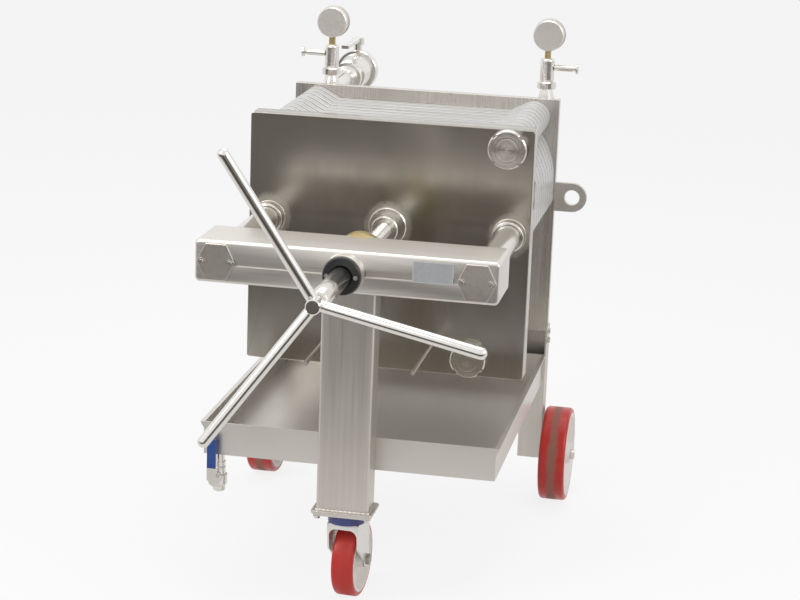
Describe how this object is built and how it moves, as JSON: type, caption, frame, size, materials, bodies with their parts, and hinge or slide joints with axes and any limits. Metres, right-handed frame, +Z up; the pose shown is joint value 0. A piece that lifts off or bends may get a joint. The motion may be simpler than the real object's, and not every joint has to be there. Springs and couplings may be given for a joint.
{
  "type": "plate filter press",
  "caption": "Wheeled stainless plate filter press for food liquids, with a hand screw, sliding follower and a drip tray.",
  "frame": {"origin": "middle of the machine's footprint on the floor, at the centre of the bounding box", "axes": "+Y from the handwheel to the fixed head, +X to the right seen from the handwheel, +Z up"},
  "size_m": [0.719, 1.4915, 1.0155],
  "materials": {
    "stainless": "satin",
    "plate_plastic": "matte",
    "bronze": "machined",
    "black_plastic": "matte",
    "blue_plastic": "gloss",
    "zinc": "zinc plated",
    "red_tyre": "matte",
    "ivory_core": "matte"
  },
  "bodies": {
    "frame": {"head_plate": "stainless", "crossbeam": "stainless", "tie_bars": "stainless", "tie_nuts": "stainless", "beam_covers": "stainless", "screw_nut": "bronze", "flange_bush": "black_plastic", "front_post": "stainless", "castor_plate": "stainless", "castor_seal": "blue_plastic", "drip_tray": "stainless", "rear_legs": "stainless", "rear_axles": "stainless", "lifting_eyes": "stainless", "inlet_pipe": "stainless", "inlet_valve": "stainless", "outlet_pipe": "stainless", "gauge_tees": "stainless", "sample_taps": "stainless", "gauge_stems": "bronze", "pressure_gauges": "stainless", "drain_valve": "stainless"},
    "follower": {"follower_plate": "stainless", "screw_boss": "stainless", "support_pegs": "stainless", "port_caps": "stainless"},
    "screw": {"clamp_screw": "stainless", "handwheel": "stainless"},
    "plate_01": {"filter_plate_01": "plate_plastic"},
    "plate_02": {"filter_plate_02": "plate_plastic"},
    "plate_03": {"filter_plate_03": "plate_plastic"},
    "plate_04": {"filter_plate_04": "plate_plastic"},
    "plate_05": {"filter_plate_05": "plate_plastic"},
    "plate_06": {"filter_plate_06": "plate_plastic"},
    "plate_07": {"filter_plate_07": "plate_plastic"},
    "plate_08": {"filter_plate_08": "plate_plastic"},
    "plate_09": {"filter_plate_09": "plate_plastic"},
    "plate_10": {"filter_plate_10": "plate_plastic"},
    "wheel_left": {"wheel_tyre_left": "red_tyre", "wheel_core_left": "ivory_core"},
    "wheel_right": {"wheel_tyre_right": "red_tyre", "wheel_core_right": "ivory_core"},
    "castor": {"castor_fork": "zinc", "castor_axle": "stainless"},
    "castor_wheel": {"castor_tyre": "red_tyre", "castor_core": "ivory_core"},
    "inlet_lever": {"inlet_lever": "stainless"},
    "drain_lever": {"drain_lever": "blue_plastic"}
  },
  "joints": [
    {"name": "follower_slide", "type": "slide", "parent": "frame", "child": "follower", "axis": [0, -1, 0], "range_m": [0, 0.2]},
    {"name": "screw_turn", "type": "hinge", "parent": "follower", "child": "screw", "pos_m": [0, -0.4363, 0.654], "axis": [0, -1, 0], "range_deg": [0, 12000]},
    {"name": "plate_slide_01", "type": "slide", "parent": "frame", "child": "plate_01", "axis": [0, -1, 0], "range_m": [0, 0.1823]},
    {"name": "plate_slide_02", "type": "slide", "parent": "frame", "child": "plate_02", "axis": [0, -1, 0], "range_m": [0, 0.1641]},
    {"name": "plate_slide_03", "type": "slide", "parent": "frame", "child": "plate_03", "axis": [0, -1, 0], "range_m": [0, 0.146]},
    {"name": "plate_slide_04", "type": "slide", "parent": "frame", "child": "plate_04", "axis": [0, -1, 0], "range_m": [0, 0.1278]},
    {"name": "plate_slide_05", "type": "slide", "parent": "frame", "child": "plate_05", "axis": [0, -1, 0], "range_m": [0, 0.1096]},
    {"name": "plate_slide_06", "type": "slide", "parent": "frame", "child": "plate_06", "axis": [0, -1, 0], "range_m": [0, 0.0914]},
    {"name": "plate_slide_07", "type": "slide", "parent": "frame", "child": "plate_07", "axis": [0, -1, 0], "range_m": [0, 0.0732]},
    {"name": "plate_slide_08", "type": "slide", "parent": "frame", "child": "plate_08", "axis": [0, -1, 0], "range_m": [0, 0.055]},
    {"name": "plate_slide_09", "type": "slide", "parent": "frame", "child": "plate_09", "axis": [0, -1, 0], "range_m": [0, 0.0369]},
    {"name": "plate_slide_10", "type": "slide", "parent": "frame", "child": "plate_10", "axis": [0, -1, 0], "range_m": [0, 0.0187]},
    {"name": "wheel_turn_left", "type": "hinge", "parent": "frame", "child": "wheel_left", "pos_m": [-0.3205, 0.3077, 0.1], "axis": [1, 0, 0], "continuous": true},
    {"name": "wheel_turn_right", "type": "hinge", "parent": "frame", "child": "wheel_right", "pos_m": [0.3205, 0.3077, 0.1], "axis": [1, 0, 0], "continuous": true},
    {"name": "castor_swivel", "type": "hinge", "parent": "frame", "child": "castor", "pos_m": [0.0085, -0.3913, 0.16], "axis": [0, 0, 1], "continuous": true},
    {"name": "castor_roll", "type": "hinge", "parent": "castor", "child": "castor_wheel", "pos_m": [0.01158, -0.34941, 0.073], "axis": [0.9973, -0.0732, 0], "continuous": true},
    {"name": "inlet_lever_turn", "type": "hinge", "parent": "frame", "child": "inlet_lever", "pos_m": [-0.232, 0.7227, 0.895], "axis": [0, 0, -1], "range_deg": [0, 90]},
    {"name": "drain_lever_turn", "type": "hinge", "parent": "frame", "child": "drain_lever", "pos_m": [-0.255, -0.3613, 0.21], "axis": [0, -1, 0], "range_deg": [0, 90]}
  ],
  "couplings": [
    {"joint": "screw_turn", "follows": "follower_slide", "rad_per_m": 1047.2},
    {"joint": "plate_slide_01", "follows": "follower_slide", "ratio": 0.90909},
    {"joint": "plate_slide_02", "follows": "follower_slide", "ratio": 0.81818},
    {"joint": "plate_slide_03", "follows": "follower_slide", "ratio": 0.72727},
    {"joint": "plate_slide_04", "follows": "follower_slide", "ratio": 0.63636},
    {"joint": "plate_slide_05", "follows": "follower_slide", "ratio": 0.54546},
    {"joint": "plate_slide_06", "follows": "follower_slide", "ratio": 0.45454},
    {"joint": "plate_slide_07", "follows": "follower_slide", "ratio": 0.36364},
    {"joint": "plate_slide_08", "follows": "follower_slide", "ratio": 0.27273},
    {"joint": "plate_slide_09", "follows": "follower_slide", "ratio": 0.18182},
    {"joint": "plate_slide_10", "follows": "follower_slide", "ratio": 0.090909}
  ]
}
